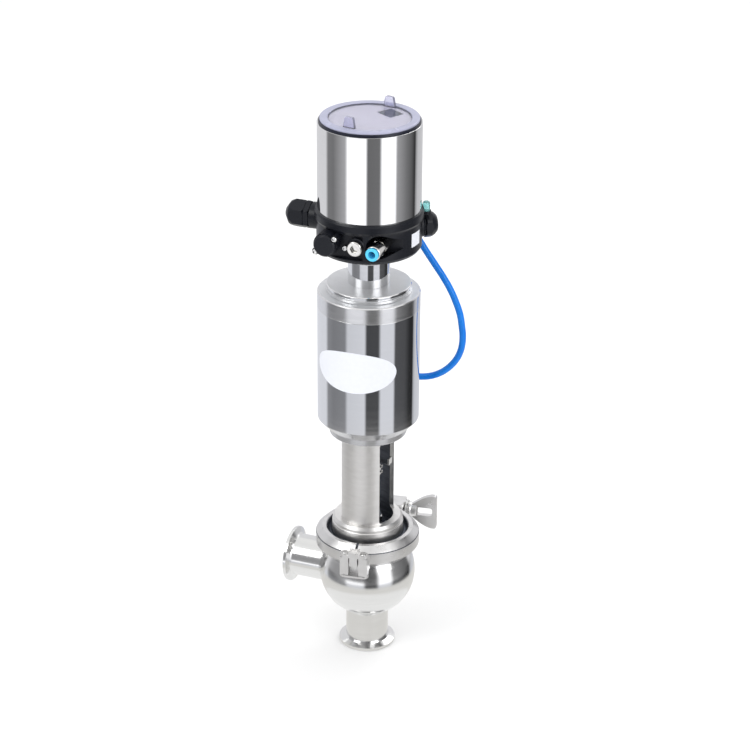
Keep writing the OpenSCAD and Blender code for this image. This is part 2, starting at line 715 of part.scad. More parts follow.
module neck() color("silver") difference() {
    translate([0, 0, disc_top]) rotate_extrude() polygon([
        [0, 0], [mast_d / 2, 0], [mast_d / 2, mast_h - 1], [mast_collar_d / 2 - 0.6, mast_h],
        [mast_collar_d / 2, mast_h + 0.6], [mast_collar_d / 2, mast_h + mast_collar_h],
        [0, mast_h + mast_collar_h]]);
    translate([0, 0, disc_top - 1]) cylinder(r = rod_r + 1, h = mast_h + mast_collar_h + 2);
}

module feedback_rod() color("gainsboro") translate([0, 0, rod_top - travel - feedback_in + slip])
    bevelled(2 * feedback_r, base_top + feedback_out - rod_top + travel + feedback_in, 0.5);

// Positioner

module positioner_base() color([0.08, 0.08, 0.09]) difference() {
    union() {
        difference() {
            rotate_extrude() polygon([
                [0, base_z], [base_r - 5, base_z], [base_r - 2, base_z + 1.2], [base_r, base_z + 4],
                [base_r, base_top - base_collar_h - 1], [collar_r - 0.6, base_top - base_collar_h + 1],
                [collar_r, base_top - base_collar_h + 2], [collar_r, base_top - 1.5],
                [collar_r - 1, base_top], [0, base_top]]);
            translate([-19, -base_r - 5, base_z + 5]) cube([30, base_r + 5 - facet_y + 1.2, 22]);
        }
        vent_port(facet_y - 6) linear_extrude(vent_seat + 3) vent_outline();
        blank_port(facet_y - 6) bevelled(blank_boss_d, 8, 0.8);
        left_port() translate([0, 0, -11]) bevelled(23, 16, 0.8);
        right_port() translate([0, 0, -6]) bevelled(22, 10, 0.8);
        upper_port() translate([0, 0, -8]) bevelled(16, 10, 0.8);
        at_lens() translate([0, 0, -lens_foot]) cylinder(d = lens_d + 2, h = lens_foot + 1);
    }
    at_lens() cylinder(d = lens_d + 2 * slip, h = 20);
    supply_port(pocket_y) linear_extrude(40) hull() {
        circle(r = pocket_r, $fn = 32);
        translate([16, 0]) circle(r = 3.5, $fn = 32);
    }
    supply_port(pocket_y - 8) cylinder(r = fitting_r, h = 10);
    vent_port(facet_y - 8) cylinder(r = 6, h = 20);
    blank_port(facet_y - 6) cylinder(r = fitting_r, h = 20);
    left_port() translate([0, 0, -8]) cylinder(r = gland_thread_r, h = 20);
    right_port() translate([0, 0, -8]) cylinder(r = gland_thread_r, h = 20);
    upper_port() translate([0, 0, -6]) cylinder(r = fitting_r, h = 20);
    translate([0, 0, base_top - base_collar_h]) cylinder(r = shell_r + slip, h = 20);
    translate([0, 0, base_z - 1]) cylinder(r = 4.5, h = base_h + 2);
    front_port(screw_x, screw_dz, facet_y - 0.9) translate([0, 0, -5.5]) cylinder(d = screw_d, h = 12);
}

// Frame of the status lens: z upwards from its seat beside the collar
module at_lens() rotate([0, 0, lens_angle]) translate([lens_reach, 0, base_top - lens_sink]) children();

// Outline of the vent's flange: round, with a lobe for each of its two screws
module vent_outline() {
    circle(d = vent_d);
    for (s = [-1, 1]) translate(s * vent_screw) circle(r = vent_lobe_r, $fn = 32);
}

module at_vent_screws() for (s = [-1, 1]) vent_port(facet_y - 3)
    translate([s * vent_screw.x, s * vent_screw.y, vent_seat + vent_flange]) children();

module base_screws() color("silver") {
    front_port(screw_x, screw_dz, facet_y - 0.9) screw();
    at_vent_screws() screw();
}

module screw() difference() {
    union() {
        translate([0, 0, -5]) cylinder(d = screw_d - 2 * slip, h = 5.1);
        bevelled(screw_head_d, 2.2, 0.5);
    }
    translate([0, 0, 1.2]) hexagon(2.4, 3);
}

module positioner_shell() color("silver") difference() {
    translate([0, 0, base_top - base_collar_h]) cylinder(r = shell_r, h = shell_h + base_collar_h - 1.5);
    translate([0, 0, base_top - base_collar_h - 1]) cylinder(r = shell_r - shell_wall, h = shell_h + 40);
}

module lid_seal() color("black") translate([0, 0, shell_top - 1.5 + seat_gap]) rotate_extrude()
    polygon([[lid_r - 7, -5], [shell_r - shell_wall - 0.3, -5], [shell_r - shell_wall - 0.3, 0],
        [shell_r - 0.6, 0], [shell_r - 1.4, 2], [lid_r - 1, 2], [lid_r - 1, 1.2], [lid_r - 7, 1.2]]);

module lid() color([0.75, 0.75, 0.85, 0.5]) translate([0, 0, shell_top - 1.5 + 2 * seat_gap]) {
    rotate_extrude() polygon([[0, 1.2], [lid_r - 1 - run, 1.2], [lid_r - 1 - run, 2.1], [lid_r, 2.1],
        [lid_r, 3.2], [lid_r - 0.8, 3.9], [lid_r - lid_rim_w + 0.7, 3.9], [lid_r - lid_rim_w, 3.2],
        [0, 3.2]]);
    for (s = [-1, 1]) rotate([0, 0, grip_angle]) translate([s * grip_reach - 1.5, 0, 2.9])
        rotate([90, 0, 90]) linear_extrude(3)
            polygon([[-5.5, 0], [5.5, 0], [4, grip_h - 1], [3, grip_h], [-3, grip_h], [-4, grip_h - 1]]);
}

module inner_cover() color("whitesmoke") translate([0, 0, shell_top - 9])
    difference() {
        rotate_extrude() polygon([[0, 6.4], [cover_r - 2, 6.4], [cover_r - 2, 0],
            [shell_r - shell_wall - 0.3, 0], [shell_r - shell_wall - 0.3, 2], [cover_r, 2],
            [cover_r, 8.4], [0, 8.4]]);
        rotate([0, 0, display_angle]) translate([display_x, -display_size.y / 2, 5]) cube(display_size);
    }

module display() color([0.1, 0.13, 0.2]) rotate([0, 0, display_angle])
    translate([display_x + slip, slip - display_size.y / 2, shell_top - 1 - display_size.z])
        cube([display_size.x - 2 * slip, display_size.y - 2 * slip, display_size.z]);

module position_sensor() color("dimgray") translate([0, 0, base_top - base_collar_h])
    ring(sensor_d, 2 * feedback_r + 4 * run, sensor_h);

module pilot_valves() color("darkslategray") for (a = [100, 190])
    rotate([0, 0, a]) translate([pilot_x, -pilot_size.y / 2, base_top - base_collar_h]) cube(pilot_size);

module vent_cap() color([0.06, 0.06, 0.07]) difference() {
    vent_port(facet_y - 3) {
        cylinder(r = 6 - slip, h = 8);
        translate([0, 0, vent_seat]) linear_extrude(vent_flange) vent_outline();
        translate([0, 0, vent_seat + vent_flange - 1]) rotate_extrude() polygon([
            [0, 0], [vent_face_r, 0], [vent_face_r, vent_face_h - 0.6],
            [vent_face_r - 1.3, vent_face_h + 0.7], [0, vent_face_h + 1]]);
    }
    at_vent_screws() {
        cylinder(d = screw_head_d + 0.6, h = 8);
        translate([0, 0, -5.2]) cylinder(d = screw_d, h = 8);
    }
}

module blanking_plug() color("silver") blank_port(facet_y - 3)
    difference() {
        union() {
            cylinder(r = fitting_r - slip, h = 8);
            translate([0, 0, 5]) bevelled(blank_d, 4.2, 0.7);
        }
        translate([0, 0, 6]) hexagon(6, 8);
    }

// Push-in end: body with the socket that a release ring and a tube go into
module push_body(r, h) difference() {
    bevelled(2 * r, h, 0.6);
    translate([0, 0, h - socket_h]) cylinder(r = push_bore_r, h = socket_h + 1);
    translate([0, 0, h - socket_h - 6]) cylinder(d = tube_bore, h = 20);
}

module push_ring(h) translate([0, 0, h]) difference() {
    union() {
        translate([0, 0, -socket_h + ring_gap + 0.5]) cylinder(r = push_bore_r - run, h = socket_h);
        translate([0, 0, ring_gap]) bevelled(11.4, ring_t, 0.5);
    }
    translate([0, 0, -20]) cylinder(d = tube_bore, h = 40);
}

module supply_fitting() color("silver") supply_port(pocket_y) {
    translate([0, 0, -7]) cylinder(r = fitting_r - slip, h = 7.1);
    hexagon(fitting_af, supply_hex_h);
    translate([0, 0, supply_hex_h - 0.1]) push_body(push_r, supply_len - supply_hex_h);
}

module supply_ring() color("skyblue") supply_port(pocket_y) push_ring(supply_len - 0.1);

module gland_body() {
    translate([0, 0, -2.5]) cylinder(r = gland_thread_r - slip, h = 6.5);
    translate([0, 0, 5]) intersection() {
        hexagon(gland_hex, 4.5);
        bevelled(gland_hex / cos(30), 4.5, 0.9);
    }
    translate([0, 0, 3.9]) cylinder(r = gland_thread_r - slip, h = 2);
    translate([0, 0, 9]) cylinder(r = 8, h = 9);
}

module gland_cap() difference() {
    intersection() {
        translate([0, 0, 9.8]) hexagon(gland_hex, 17);
        translate([0, 0, 9.8]) rotate_extrude() polygon([
            [0, 0], [gland_hex / 2 + 0.4, 0], [gland_hex / 2 + 1.7, 1.2], [gland_hex / 2 + 1.7, 9],
            [gland_hex / 2 - 0.6, 14], [gland_hex / 2 - 4, 16.4], [0, 16.4]]);
    }
    translate([0, 0, 9]) cylinder(r = 8 + run, h = 9.4);
    translate([0, 0, 10]) cylinder(r = 5.2, h = 30);
}

module left_gland() color([0.09, 0.09, 0.1]) left_port() difference() {
    union() {
        gland_body();
        translate([0, 0, 17]) cylinder(r = 5, h = 10.6);
    }
    translate([0, 0, 22]) cylinder(r = 3, h = 20);
}

module left_gland_nut() color([0.07, 0.07, 0.08]) left_port() gland_cap();

module right_gland() color([0.09, 0.09, 0.1]) right_port() {
    translate([0, 0, -4]) cylinder(r = gland_thread_r - slip, h = 8);
    translate([0, 0, 4]) bevelled(21, 1.4, 0.4);
    translate([0, 0, 5]) cylinder(r = 7, h = 7);
}

module right_gland_cap() color([0.07, 0.07, 0.08]) right_port() difference() {
    intersection() {
        translate([0, 0, 5.6]) hexagon(gland_hex, 14);
        translate([0, 0, 5.6]) rotate_extrude() polygon([
            [0, 0], [right_cap_r - 0.8, 0], [right_cap_r, 0.8], [right_cap_r, 5],
            [right_cap_r - 2.3, 8.8], [right_cap_r - 4.5, 11], [0, 11.3]]);
    }
    translate([0, 0, 5]) cylinder(r = 7 + run, h = 7.4);
}

module status_lens() color([0.5, 0.8, 0.8, 0.6]) at_lens() translate([0, 0, slip])
    bevelled(lens_d, lens_h, 0.8);

// Elbows and air tube

module elbow_root(length) {
    translate([0, 0, -4]) cylinder(r = fitting_r - slip, h = 8);
    translate([0, 0, 2.6]) hexagon(fitting_af, 4);
    translate([0, 0, 5]) cylinder(r = 4.5, h = length - 5);
}

module elbow_barrel() {
    sphere(r = elbow_r);
    cylinder(r = elbow_r, h = elbow_out);
}

module upper_elbow() color("silver") difference() {
    union() {
        upper_port() elbow_root(elbow_y - facet_y);
        upper_way() elbow_barrel();
    }
    upper_way() push_socket();
}

module push_socket() {
    translate([0, 0, elbow_out - socket_h]) cylinder(r = push_bore_r, h = socket_h + 1);
    translate([0, 0, elbow_out - socket_h - 4]) cylinder(d = tube_bore, h = 20);
}

module lower_elbow() color("silver") difference() {
    union() {
        lower_port() elbow_root(elbow_y - act_r);
        lower_way() elbow_barrel();
    }
    lower_way() push_socket();
}

module upper_elbow_ring() color("skyblue") upper_way() push_ring(elbow_out);
module lower_elbow_ring() color("skyblue") lower_way() push_ring(elbow_out);

module air_tube() color("dodgerblue") sweep(tube_route, tube_d / 2, 12, [for (p = tube_route) [0, 1, 0]]);

valve_body();
seat_ring();
plug();
plug_seal();
valve_stem();
body_gasket();
stem_seal();
stem_bush();
gland_nut();
yoke();
clamp_half_left();
clamp_half_right();
clamp_link();
link_pins();
bolt_pivot_pin();
swing_bolt();
bolt_washer();
wing_nut();
coupling();
coupling_screws();
travel_pointer();
actuator_base();
actuator_barrel();
actuator_cap();
cap_disc();
piston();
piston_seal();
piston_rod();
rod_bush();
return_spring();
neck();
feedback_rod();
positioner_base();
positioner_shell();
lid_seal();
lid();
inner_cover();
display();
position_sensor();
pilot_valves();
vent_cap();
base_screws();
blanking_plug();
supply_fitting();
supply_ring();
left_gland();
left_gland_nut();
right_gland();
right_gland_cap();
status_lens();
upper_elbow();
upper_elbow_ring();
lower_elbow();
lower_elbow_ring();
air_tube();
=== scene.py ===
# Sanitary control valve in polished stainless steel, with a black positioner base and a blue air line.
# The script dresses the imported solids; every length is in metres, in the solids' own frame.
import json
import math

import bpy
from mathutils import Matrix, Vector

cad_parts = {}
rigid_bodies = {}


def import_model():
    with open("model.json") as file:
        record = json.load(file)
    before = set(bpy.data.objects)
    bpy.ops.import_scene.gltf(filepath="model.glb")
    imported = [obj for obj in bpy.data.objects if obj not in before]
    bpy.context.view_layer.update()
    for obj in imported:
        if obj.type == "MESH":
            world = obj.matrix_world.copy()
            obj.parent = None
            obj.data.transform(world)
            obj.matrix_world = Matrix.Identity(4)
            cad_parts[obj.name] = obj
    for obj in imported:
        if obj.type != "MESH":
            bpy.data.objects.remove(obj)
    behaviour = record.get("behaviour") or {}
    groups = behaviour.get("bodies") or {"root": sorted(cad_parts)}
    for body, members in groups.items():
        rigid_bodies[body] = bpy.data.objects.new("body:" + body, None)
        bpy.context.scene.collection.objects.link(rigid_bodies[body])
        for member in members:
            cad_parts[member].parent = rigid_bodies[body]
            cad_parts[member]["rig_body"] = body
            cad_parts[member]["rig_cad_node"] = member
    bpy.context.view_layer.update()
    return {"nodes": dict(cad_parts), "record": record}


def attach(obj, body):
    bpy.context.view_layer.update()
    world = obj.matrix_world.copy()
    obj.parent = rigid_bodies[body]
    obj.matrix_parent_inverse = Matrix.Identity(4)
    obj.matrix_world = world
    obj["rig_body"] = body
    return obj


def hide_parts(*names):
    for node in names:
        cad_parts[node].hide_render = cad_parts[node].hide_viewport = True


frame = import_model()
nodes = frame["nodes"]


# Camera: it stands to the right of the valve's front and looks down on it by 25 degrees.
# Lens, place and tilt were fitted to the rims of the two housings and to the valve's height.
view_turn = math.radians(21)
view_tilt = math.radians(64.772)
view_roll = math.radians(0.317)
view_place = (0.66771, -1.73945, 1.1440)
view_data = bpy.data.cameras.new("camera")
view_data.sensor_width = 36
view_data.lens = 113.376
view_data.shift_x = 0.00878
view_data.clip_end = 50
view_camera = bpy.data.objects.new("camera", view_data)
bpy.context.scene.collection.objects.link(view_camera)
turn_and_tilt = Matrix.Rotation(view_turn, 4, "Z") @ Matrix.Rotation(view_tilt, 4, "X")
view_camera.matrix_world = (Matrix.Translation(view_place) @ turn_and_tilt
                            @ Matrix.Rotation(view_roll, 4, "Z"))
bpy.context.scene.camera = view_camera


# Valve body: a drawn steel ball with an inlet pipe, an outlet pipe and a bonnet neck welded to it.
# Each end carries a ferrule with a sloping back. The outside is ground and polished to a soft bright finish.
pipe_r = 0.01905
pipe_bore_r = 0.0174
end_rim_r = 0.02525
rim_t = 0.00285
rim_edge = 0.0004
back_blend = 0.001
back_slope = math.tan(math.radians(20))
groove_r = 0.02175
bead_r = 0.0013
ball_r = 0.043
cavity_r = 0.0405
outlet_z = 0.0735
outlet_reach = 0.073
outlet_hole_r = pipe_bore_r + 0.0001
outlet_hole_depth = 0.03
weld_inside = 0.002
neck_r = 0.03175
neck_bore_r = 0.0301
bonnet_r = 0.03875
body_top = 0.1072
seat_pocket_r = 0.01897
seat_floor = 0.0365
weld_r = 0.0009
weld_line_z = 0.039
weld_line_depth = 0.00012
weld_line_half_deg = 0.4
weld_toe_deg = 1.2
corner_turn = math.radians(12)
sharp_corner = math.radians(30)
merge_gap = 0.000001
same_spot = 0.00001
noise_low = 0.3
noise_high = 0.7
body_of = {name: body for body, names in frame["record"]["behaviour"]["bodies"].items() for name in names}
slot_of = {part["node"]: part["material_slot"] for part in frame["record"]["subparts"]}


def finish(name, colour, metallic, roughness):
    """A new material with its shader set; the caller adds the surface's own pattern."""
    material = bpy.data.materials.new(name)
    material.use_nodes = True
    shader = material.node_tree.nodes["Principled BSDF"]
    shader.inputs["Base Color"].default_value = (*colour, 1)
    shader.inputs["Metallic"].default_value = metallic
    shader.inputs["Roughness"].default_value = roughness
    return material


def mottle(material, scale, stretch, dark, light, rough, relief_mm):
    """Noise on Object coordinates that varies colour and gloss and gives the surface a fine relief."""
    tree = material.node_tree
    shader = tree.nodes["Principled BSDF"]
    place = tree.nodes.new("ShaderNodeTexCoord")
    stretched = tree.nodes.new("ShaderNodeMapping")
    stretched.inputs["Scale"].default_value = stretch
    noise = tree.nodes.new("ShaderNodeTexNoise")
    noise.inputs["Scale"].default_value = scale
    noise.inputs["Detail"].default_value = 4
    shade = tree.nodes.new("ShaderNodeValToRGB")
    for stop, position, colour in zip(shade.color_ramp.elements, (noise_low, noise_high), (dark, light)):
        stop.position = position
        stop.color = (*colour, 1)
    gloss = tree.nodes.new("ShaderNodeMapRange")
    gloss.inputs["From Min"].default_value = noise_low
    gloss.inputs["From Max"].default_value = noise_high
    gloss.inputs["To Min"].default_value = rough[0]
    gloss.inputs["To Max"].default_value = rough[1]
    relief = tree.nodes.new("ShaderNodeBump")
    relief.inputs["Distance"].default_value = relief_mm / 1000
    tree.links.new(place.outputs["Object"], stretched.inputs["Vector"])
    tree.links.new(stretched.outputs["Vector"], noise.inputs["Vector"])
    tree.links.new(noise.outputs["Fac"], shade.inputs["Fac"])
    tree.links.new(noise.outputs["Fac"], gloss.inputs["Value"])
    tree.links.new(noise.outputs["Fac"], relief.inputs["Height"])
    tree.links.new(shade.outputs["Color"], shader.inputs["Base Color"])
    tree.links.new(gloss.outputs["Result"], shader.inputs["Roughness"])
    tree.links.new(relief.outputs["Normal"], shader.inputs["Normal"])
    return material


def tuned(material, value_name, value):
    """Sets one more value of a material's shader."""
    material.node_tree.nodes["Principled BSDF"].inputs[value_name].default_value = value


def placed(piece, name, material, *stands_for, body=None, slot=None):
    """Names a finished piece, gives it its material and sets it on its body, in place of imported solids."""
    piece.name = name
    piece.data.name = name
    piece.data.materials.clear()
    piece.data.materials.append(material)
    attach(piece, body or body_of[stands_for[0]])
    if stands_for:
        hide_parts(*stands_for)
    return piece


def arc(centre, radius, start, end, steps):
    """The points of a round stretch of an outline, from one angle in degrees to another."""
    return [(centre[0] + radius * math.cos(math.radians(start + (end - start) * i / steps)),
             centre[1] + radius * math.sin(math.radians(start + (end - start) * i / steps)))
            for i in range(steps + 1)]


def smoothed(piece):
    """Smooth shading that keeps sharp corners, and keeps long walls straight beside their eased edges."""
    bpy.ops.object.shade_smooth_by_angle(angle=sharp_corner)
    evened = piece.modifiers.new("even_normals", "WEIGHTED_NORMAL")
    evened.keep_sharp = True
    evened.weight = 100
    bpy.ops.object.modifier_apply(modifier=evened.name)
    return piece


def drawn(outline):
    """A new piece that is one thin line through an outline's points, (radius, height)."""
    bpy.ops.object.select_all(action="DESELECT")
    bpy.ops.mesh.primitive_circle_add(vertices=3, radius=0.0001, location=(outline[0][0], 0, outline[0][1]))
    piece = bpy.context.object
    bpy.ops.object.mode_set(mode="EDIT")
    bpy.ops.mesh.select_all(action="SELECT")
    bpy.ops.mesh.merge(type="CENTER")
    for (r0, z0), (r1, z1) in zip(outline, outline[1:]):
        bpy.ops.mesh.extrude_region_move(TRANSFORM_OT_translate={"value": (r1 - r0, 0, z1 - z0)})
    bpy.ops.mesh.select_all(action="SELECT")
    bpy.ops.mesh.remove_doubles(threshold=merge_gap)
    bpy.ops.object.mode_set(mode="OBJECT")
    bpy.ops.object.transform_apply(location=True, rotation=True, scale=True)
    return piece


def lathe(outline, round_off=0.0003, steps=256):
    """Spins an outline, (radius, height) from the foot up, round the stem, with its corners eased."""
    piece = drawn(outline)
    closed = outline[0] == outline[-1]
    points = [Vector(point) for point in (outline[:-1] if closed else outline)]
    corners = [here for before, here, after in zip(points[-1:] + points, points, points[1:] + points[:1])
               if (here - before).angle(after - here, 0) > corner_turn
               and (closed or here not in (points[0], points[-1]))]
    for vertex in piece.data.vertices:
        spot = Vector((vertex.co.x, vertex.co.z))
        vertex.select = any((spot - corner).length < same_spot for corner in corners)
    bpy.context.tool_settings.mesh_select_mode = (True, False, False)
    bpy.ops.object.mode_set(mode="EDIT")
    if round_off and corners:
        bpy.ops.mesh.bevel(affect="VERTICES", offset=round_off, segments=3, clamp_overlap=True)
    bpy.ops.mesh.select_all(action="SELECT")
    bpy.ops.mesh.spin(steps=steps, angle=2 * math.pi, center=(0, 0, 0), axis=(0, 0, 1))
    bpy.ops.mesh.select_all(action="SELECT")
    bpy.ops.mesh.remove_doubles(threshold=merge_gap)
    bpy.ops.mesh.normals_make_consistent(inside=False)
    bpy.ops.object.mode_set(mode="OBJECT")
    return smoothed(piece)


def cut(piece, cutter, operation="DIFFERENCE"):
    """Cuts a piece with a tool, or joins the tool to it, and takes the tool away."""
    bpy.context.view_layer.objects.active = piece
    triangles = piece.modifiers.new("triangles", "TRIANGULATE")
    bpy.ops.object.modifier_apply(modifier=triangles.name)
    boolean = piece.modifiers.new("cut", "BOOLEAN")
    boolean.operation = operation
    boolean.object = cutter
    boolean.solver = "MANIFOLD"
    bpy.ops.object.modifier_apply(modifier=boolean.name)
    bpy.data.objects.remove(cutter)


def ferrule(rim_r, stub_r, face_z, way=1):
    """The outline of a ferrule from its face to the pipe, going up (1) or down (-1)."""
    blend_r = stub_r + back_blend
    return [(rim_r - rim_edge, face_z), (rim_r, face_z + way * rim_edge), (rim_r, face_z + way * rim_t),
            (blend_r, face_z + way * (rim_t + (rim_r - blend_r) * back_slope)),
            (stub_r, face_z + way * (rim_t + (rim_r - stub_r) * back_slope + back_blend))]


def groove(face_z):
    """The outline of the half-round gasket groove in a pipe end's face, from the bore outwards."""
    return [(pipe_bore_r, face_z)] + arc((groove_r, face_z), bead_r, 180, 0, 12)


body_polish = mottle(finish("body_polish", (0.8, 0.8, 0.79), 1, 0.16), 22, (1, 1, 14),
                     (0.78, 0.78, 0.772), (0.82, 0.82, 0.812), (0.14, 0.2), 0.0006)
pipe_angle = math.degrees(math.acos(pipe_r / ball_r))
line_angle = math.degrees(math.asin((outlet_z - weld_line_z) / ball_r))
neck_angle = math.degrees(math.acos(neck_r / ball_r))
weld_z = outlet_z - math.sqrt(ball_r ** 2 - pipe_r ** 2)
ball_outline = (
    groove(0) + ferrule(end_rim_r, pipe_r, 0)
    + arc((pipe_r, weld_z), weld_r, -90, 90 - pipe_angle, 8)
    + arc((0, outlet_z), ball_r, weld_toe_deg - pipe_angle, -line_angle - weld_line_half_deg, 3)
    + arc((0, outlet_z), ball_r - weld_line_depth, -line_angle, -line_angle, 1)[:1]
    + arc((0, outlet_z), ball_r, weld_line_half_deg - line_angle, neck_angle, 64)
    + ferrule(bonnet_r, neck_r, body_top, -1)[::-1] + [(neck_bore_r, body_top)]
    + arc((0, outlet_z), cavity_r, math.degrees(math.acos(neck_bore_r / cavity_r)),
          -math.degrees(math.acos(seat_pocket_r / cavity_r)), 32)
    + [(seat_pocket_r, seat_floor), (pipe_bore_r, seat_floor), (pipe_bore_r, 0)])
ball_and_necks = lathe(ball_outline)
bpy.ops.object.select_all(action="DESELECT")
bpy.ops.mesh.primitive_cylinder_add(vertices=96, radius=outlet_hole_r, depth=outlet_hole_depth,
                                    location=(-ball_r, 0, outlet_z), rotation=(0, math.pi / 2, 0))
cut(ball_and_necks, bpy.context.object)
placed(smoothed(ball_and_necks), "ball_and_necks", body_polish, "valve_body")

outlet_weld = outlet_reach - math.sqrt(ball_r ** 2 - pipe_r ** 2)
outlet_pipe = lathe(groove(0) + ferrule(end_rim_r, pipe_r, 0)
                    + arc((pipe_r, outlet_weld), weld_r, -90, 90 - pipe_angle, 8)
                    + [(pipe_bore_r, outlet_weld + weld_inside), (pipe_bore_r, 0)])


def laid(piece, turn):
    """Turns a piece that was spun round the stem to where it belongs, with its place kept in its mesh."""
    bpy.ops.object.select_all(action="DESELECT")
    piece.select_set(True)
    bpy.context.view_layer.objects.active = piece
    piece.matrix_world = turn @ piece.matrix_world
    bpy.ops.object.transform_apply(location=True, rotation=True, scale=True)
    return piece


to_outlet = Matrix.Translation((-outlet_reach, 0, outlet_z)) @ Matrix.Rotation(math.pi / 2, 4, "Y")
placed(laid(outlet_pipe, to_outlet), "outlet_pipe", body_polish, "valve_body")


# Small bright turned parts and soft seals of the fluid end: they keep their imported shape.
# The seat and plug are turned from bar, the rings are sealing plastic, and all of them drop in from above.
turned_bright = mottle(finish("turned_bright", (0.72, 0.72, 0.71), 1, 0.2), 60, (1, 1, 10),
                       (0.68, 0.68, 0.67), (0.75, 0.75, 0.745), (0.16, 0.25), 0.001)
seal_white = mottle(finish("seal_white", (0.85, 0.84, 0.8), 0, 0.4), 200, (1, 1, 1),
                    (0.82, 0.81, 0.77), (0.88, 0.87, 0.83), (0.35, 0.45), 0.006)
seal_black = mottle(finish("seal_black", (0.015, 0.015, 0.017), 0, 0.55), 400, (1, 1, 1),
                    (0.012, 0.012, 0.013), (0.02, 0.02, 0.022), (0.5, 0.65), 0.01)


def dressed(material, *names):
    """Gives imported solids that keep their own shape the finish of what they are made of."""
    for name in names:
        nodes[name].data.materials.clear()
        nodes[name].data.materials.append(material)


dressed(body_polish, "valve_body", "yoke")
dressed(turned_bright, "seat_ring", "plug", "valve_stem", "gland_nut")
dressed(seal_white, "plug_seal", "body_gasket", "stem_bush", "rod_bush")
dressed(seal_black, "stem_seal")


# Yoke: a turned cup with its ferrule, and a tube with two windows milled in it, welded on and blasted.
# Its bore, seen through the windows, and the back of its ferrule get a dark steel that is painted shade,
# darker than the satin outside.
satin_steel = mottle(finish("satin_steel", (0.8, 0.79, 0.775), 1, 0.38), 90, (1, 1, 3),
                     (0.76, 0.75, 0.735), (0.83, 0.82, 0.805), (0.33, 0.43), 0.002)
# A dark steel that stands for shade: painted shade in the yoke's bore, on the ferrule's back, in the clamp's
# lip gap and in its groove.
painted_shade_steel = mottle(finish("painted_shade_steel", (0.1, 0.11, 0.13), 0.8, 0.5), 60, (1, 1, 6),
                   (0.07, 0.078, 0.095), (0.14, 0.15, 0.175), (0.45, 0.6), 0.004)
yoke_bore_r = 0.0229
shaded_top = 0.1155
bore_slack = 0.0002
flat_turn = math.radians(0.3)


def eased(piece, edge_mm, steps=2):
    """Breaks a piece's sharp edges with a small round."""
    bevel = piece.modifiers.new("broken_edges", "BEVEL")
    bevel.width = edge_mm / 1000
    bevel.segments = steps
    bevel.limit_method = "ANGLE"
    bevel.angle_limit = sharp_corner
    bevel.miter_outer = "MITER_ARC"
    bpy.ops.object.modifier_apply(modifier=bevel.name)


def worked_copy(node, name, material, edge_mm=0.2, steps=2):
    """A joined-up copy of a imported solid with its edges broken, which is shown in its place."""
    bpy.ops.object.select_all(action="DESELECT")
    nodes[node].select_set(True)
    bpy.context.view_layer.objects.active = nodes[node]
    bpy.ops.object.duplicate()
    piece = bpy.context.object
    piece.parent = None
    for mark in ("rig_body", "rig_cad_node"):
        del piece[mark]
    bpy.ops.mesh.customdata_custom_splitnormals_clear()
    bpy.ops.object.mode_set(mode="EDIT")
    bpy.ops.mesh.select_all(action="SELECT")
    bpy.ops.mesh.remove_doubles(threshold=2 * merge_gap)
    bpy.ops.mesh.dissolve_limited(angle_limit=flat_turn)
    bpy.ops.object.mode_set(mode="OBJECT")
    eased(piece, edge_mm, steps=steps)
    return placed(smoothed(piece), name, material, node)


def refinished(piece, material, chosen):
    """Gives another material to the faces that a test picks by distance to the stem, centre and normal."""
    piece.data.materials.append(material)
    for face in piece.data.polygons:
        corners = [piece.data.vertices[i].co for i in face.vertices]
        reach = sum(math.hypot(corner.x, corner.y) for corner in corners) / len(corners)
        if chosen(reach, face.center, face.normal):
            face.material_index = len(piece.data.materials) - 1


yoke_shell = worked_copy("yoke", "yoke_shell", satin_steel, edge_mm=0.25)
# The bore's inward faces and the faces low on the ferrule's back get the painted shade.
refinished(yoke_shell, painted_shade_steel, lambda reach, centre, normal: (
    normal.x * centre.x + normal.y * centre.y < 0 and reach < yoke_bore_r + bore_slack
    or centre.z < shaded_top and reach > yoke_bore_r))


# Clamp: two investment-cast halves, tumbled to a soft satin, that squeeze the two bonnet ferrules together.
# They hang on a short link with two pins at the front and are drawn together by the bolt at the back.
cast_satin = mottle(finish("cast_satin", (0.74, 0.735, 0.73), 1, 0.32), 130, (1, 1, 1),
                    (0.7, 0.695, 0.69), (0.77, 0.765, 0.76), (0.26, 0.38), 0.008)
lip_r = 0.0363
lip_slack = 0.0005
clamp_r = 0.0463
slope_foot_z = 0.113
foot_groove_r = 0.0005
for half in ("clamp_half_left", "clamp_half_right"):
    clamp_shell = worked_copy(half, half.replace("half", "shell"), cast_satin, edge_mm=0.35, steps=3)
    cut(clamp_shell, lathe(arc((clamp_r, slope_foot_z), foot_groove_r, 0, 360, 12), round_off=0))
    smoothed(clamp_shell)
    # The faces inside the lip and in the groove under the slope get the dark steel: painted shade in the gap
    # and the groove.
    refinished(clamp_shell, painted_shade_steel, lambda reach, centre, normal: (
        reach < lip_r + lip_slack or math.hypot(reach - clamp_r, centre.z - slope_foot_z) < foot_groove_r))
worked_copy("clamp_link", "hinge_link", cast_satin, edge_mm=0.4, steps=3)
dressed(cast_satin, "clamp_half_left", "clamp_half_right", "clamp_link", "wing_nut")
dressed(turned_bright, "link_pins", "bolt_pivot_pin", "swing_bolt", "bolt_washer")


# Wing nut: a cast loop nut on the swing bolt, which a hand turns; its edges are well rounded.
# Its two wings flare outwards and meet in a bar at the far end, with the loop's corners rounded inside.
nut_edge_mm = 0.7
nut_plate = 0.005
nut_bar = 0.0038
nut_end = 0.06315
loop_w = 0.008
loop_corner_r = 0.002
bolt_angle = math.radians(98)
bolt_reach = 0.055
bolt_pivot_y = 0.011
joint_z = 0.108
to_bolt = (Matrix.Translation((0, 0, joint_z)) @ Matrix.Rotation(bolt_angle, 4, "Z")
           @ Matrix.Translation((bolt_reach, bolt_pivot_y, 0)) @ Matrix.Rotation(math.pi / 2, 4, "X"))


